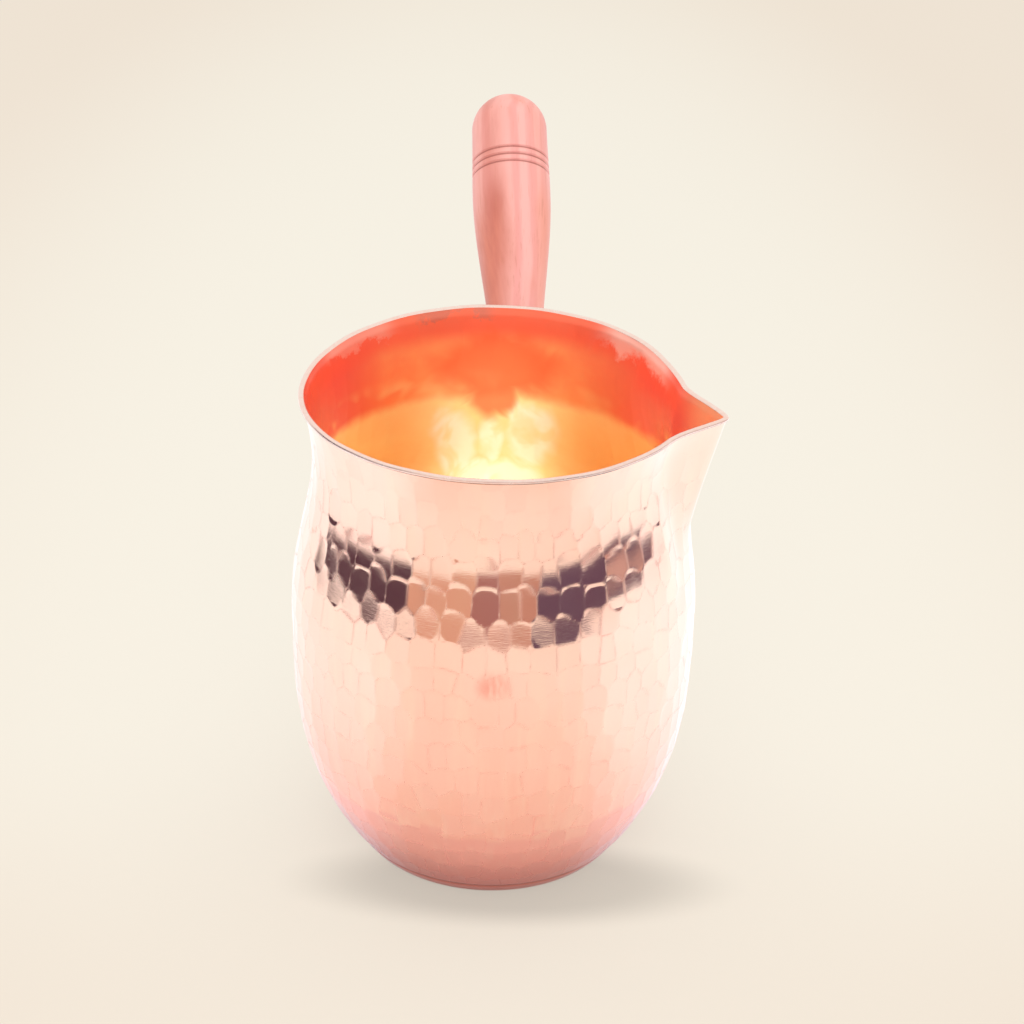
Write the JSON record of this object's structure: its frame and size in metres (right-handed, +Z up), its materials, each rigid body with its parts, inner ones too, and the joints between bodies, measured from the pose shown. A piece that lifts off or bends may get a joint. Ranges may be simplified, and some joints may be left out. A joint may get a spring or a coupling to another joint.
{
  "type": "pouring jug",
  "caption": "Hammered copper pouring jug with a pinched side spout, a riveted saddle plate and socket, and a long turned wooden handle.",
  "frame": {"origin": "centre of the flat base, on the surface the jug stands on", "axes": "+Z up through the mouth; the saddle plate and the handle are on the +Y side, and the spout points towards +X, 3.6 degrees towards -Y"},
  "size_m": [0.116, 0.2167, 0.1652],
  "materials": {
    "hammered_copper": "hammered and polished copper",
    "plain_copper": "smooth copper, lightly polished",
    "turned_wood": "turned, oiled hardwood with burnt grooves",
    "stud_steel": "plain steel rod",
    "pin_brass": "polished brass"
  },
  "bodies": {
    "root": {"jug_body": "hammered_copper", "saddle_plate": "plain_copper", "handle_socket": "plain_copper", "stud_boss": "plain_copper", "handle_stud": "stud_steel", "wooden_handle": "turned_wood", "rivet_left": "plain_copper", "rivet_right": "plain_copper", "rivet_lower": "plain_copper", "socket_pin_left": "pin_brass", "socket_pin_right": "pin_brass"}
  },
  "joints": []
}
